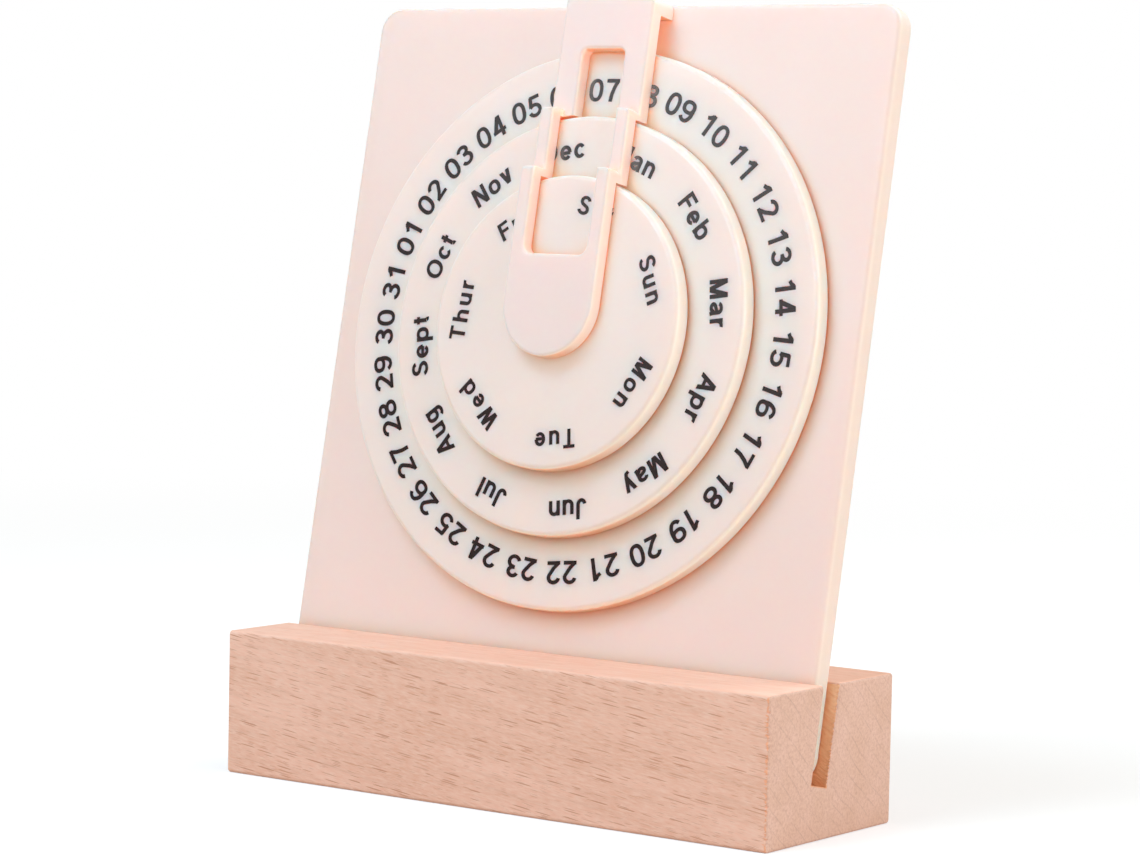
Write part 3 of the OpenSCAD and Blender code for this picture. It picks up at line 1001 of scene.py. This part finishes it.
def word_strokes(word, gap):
    """The strokes of a word, side by side from x = 0, and its width, in capital heights."""
    strokes, x = [], 0.0
    if word.isdigit():
        for mark in word:
            strokes += [[(px + x, py) for px, py in quad] for quad in DIGITS[mark]]
            x += DIGIT_ADVANCE
        return strokes, x - DIGIT_ADVANCE + DIGIT_WIDTH
    for mark in word:
        quads = LETTERS[mark]
        low = min(px for quad in quads for px, py in quad)
        high = max(px for quad in quads for px, py in quad)
        strokes += [[(px - low + x, py) for px, py in quad] for quad in quads]
        x += high - low + gap
    return strokes, x - gap


def covers(quad, spot):
    """True if a quad, walked anticlockwise, holds the spot."""
    for (ax, ay), (bx, by) in zip(quad, quad[1:] + quad[:1]):
        if (bx - ax) * (spot.y - ay) - (by - ay) * (spot.x - ax) <= -1e-7:
            return False
    return True


def melt(strokes):
    """Overlapping strokes as one set of triangles: (points, triangles)."""
    points = [Vector(p) for quad in strokes for p in quad]
    polygons = [list(range(4 * i, 4 * i + 4)) for i in range(len(strokes))]
    flat, _, faces, _, _, sources = delaunay_2d_cdt(points, [], polygons, 1, 1e-5)
    inked = []
    for face, source in zip(faces, sources):
        middle = sum((flat[i] for i in face), Vector((0, 0))) / len(face)
        if any(covers(strokes[s], middle) for s in source):
            inked.append(face)
    return flat, inked


sample = word_strokes("07", 0)[0]
print("strokes and triangles in 07:", len(sample), len(melt(sample)[1]))

# %% [markdown]
# ## Printing round a dial
# A word is turned so that its top looks outward, and its flat shape becomes a film of ink three
# hundredths of a millimetre proud of the dial, closed on every side. An image texture could show
# the same print, but a film keeps sharp edges at any distance and turns with its dial.
#
# The print isn't quite centred on its dials. Each ring of words stands up to 0.8 mm off in a
# smooth wave, which was measured word by word, so `drift` adds a mean and its first waves.

# %% Ink film
INK_PROUD, INK_SUNK = 0.03, 0.01
# Lengths in mm; the gap between letters is in capital heights. The last two are drift's terms.
WordRing = namedtuple("WordRing", "face_out capital gap baseline onset")


def on_plate(x, up, out):
    """A point of the leaning plate's frame, in mm from the axle, as a point of the scene."""
    return axle_spot + (across * x + plate_up * up + axle_out * out) * MM


def drift(terms, a):
    """A mean and its waves round the ring: terms are (mean, cos a, sin a, cos 2a, sin 2a)."""
    waves = (1, math.cos(a), math.sin(a), math.cos(2 * a), math.sin(2 * a))
    return sum(term * wave for term, wave in zip(terms, waves))


def print_words(name, words, body, ring):
    """All words of one dial as one ink film. words are (text, degrees clockwise from the top)."""
    points, faces = [], []
    for text, degrees in words:
        strokes, width = word_strokes(text, ring.gap)
        flat, triangles = melt(strokes)
        a = math.radians(degrees)
        outward, onward = Vector((math.sin(a), math.cos(a))), Vector((math.cos(a), -math.sin(a)))
        spots = []
        for p in flat:
            along = drift(ring.onset, a) + (p.x - width / 2) * ring.capital
            high = drift(ring.baseline, a) + p.y * ring.capital
            spots.append(onward * along + outward * high)
        base, count = len(points), len(flat)
        points += [on_plate(p.x, p.y, ring.face_out + INK_PROUD) for p in spots]
        points += [on_plate(p.x, p.y, ring.face_out - INK_SUNK) for p in spots]
        edges = {}
        for triangle in triangles:
            faces.append([base + i for i in triangle])
            faces.append([base + count + i for i in reversed(triangle)])
            for i, j in zip(triangle, triangle[1:] + triangle[:1]):
                edges[i, j] = edges.get((i, j), 0) + 1
        rims = [(i, j) for i, j in edges if (j, i) not in edges]
        faces += [[base + j, base + i, base + count + i, base + count + j] for i, j in rims]
    mesh = bpy.data.meshes.new(name)
    mesh.from_pydata(points, [], faces)
    mesh.validate()
    mesh.update()
    made = bpy.data.objects.new(name, mesh)
    bpy.context.scene.collection.objects.link(made)
    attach(made, body)
    print(name, "words:", len(words), "faces:", len(faces))
    return made


# %% [markdown]
# ## Ink
# Printed ink on resin is charcoal rather than black, and it keeps a satin sheen. Where the plate's
# top reflects the softbox, the ink turns grey; low on the dials it stays dark.

# %% Printed numbers and names
INK_DARK = rgb(30, 14, 16)
INK_WORN = rgb(44, 28, 31)
INK_IOR = 1.45

charcoal_ink, tree, shader = surface("charcoal_ink")
place = add(tree, "TexCoord").outputs["Object"]
mottle = cloud(tree, place, 1800.0, 3.0)
ink_colour = blend(tree, span(tree, mottle, 0.4, 0.75), INK_DARK, INK_WORN)
ink_bump = add(tree, "Bump", {"Height": mottle, "Strength": 0.12, "Distance": 0.03 * MM})
tree.links.new(ink_colour, shader.inputs["Base Color"])
tree.links.new(ink_bump.outputs[0], shader.inputs["Normal"])
tree.links.new(span(tree, mottle, 0.3, 0.7, 0.20, 0.25), shader.inputs["Roughness"])
shader.inputs["IOR"].default_value = INK_IOR

MONTHS = "Jan Feb Mar Apr May Jun Jul Aug Sept Oct Nov Dec".split()
DAYS = "Sun Mon Tue Wed Thur Fri Sat".split()
SHOWN_NUMBER, NUMBER_TURN, NUMBER_PITCH = 7, 0.2, 360 / 31
MONTH_TURN, MONTH_PITCH = 21.3, 30
DAY_TURN, DAY_PITCH = 68.1, 360 / 7

numbers = [
    (f"{n:02d}", NUMBER_TURN + (n - SHOWN_NUMBER) * NUMBER_PITCH) for n in range(1, 32)
]
months = [(name, MONTH_TURN + MONTH_PITCH * i) for i, name in enumerate(MONTHS)]
days = [(name, DAY_TURN + DAY_PITCH * i) for i, name in enumerate(DAYS)]

NUMBER_RING = WordRing(
    face_out=3.7, capital=4.6, gap=0.14,
    baseline=(45.93, -0.38, 0.35, -0.15, -0.06), onset=(-0.30, -0.56, -0.53, -0.06, 0.12),
)
MONTH_RING = WordRing(
    face_out=7.4, capital=4.1, gap=0.16,
    baseline=(33.87, -0.80, 0.30, 0.02, -0.25), onset=(-0.58, 0.36, 0.15, -0.23, 0.09),
)
DAY_RING = WordRing(
    face_out=11.1, capital=3.8, gap=0.25,
    baseline=(21.42, -0.19, 0.30), onset=(-0.24, 0.12, -0.10),
)
printed = [
    print_words("date_numbers", numbers, "date_wheel", NUMBER_RING),
    print_words("month_names", months, "month_wheel", MONTH_RING),
    print_words("day_names", days, "week_wheel", DAY_RING),
]
for film in printed:
    film.data.materials.append(charcoal_ink)
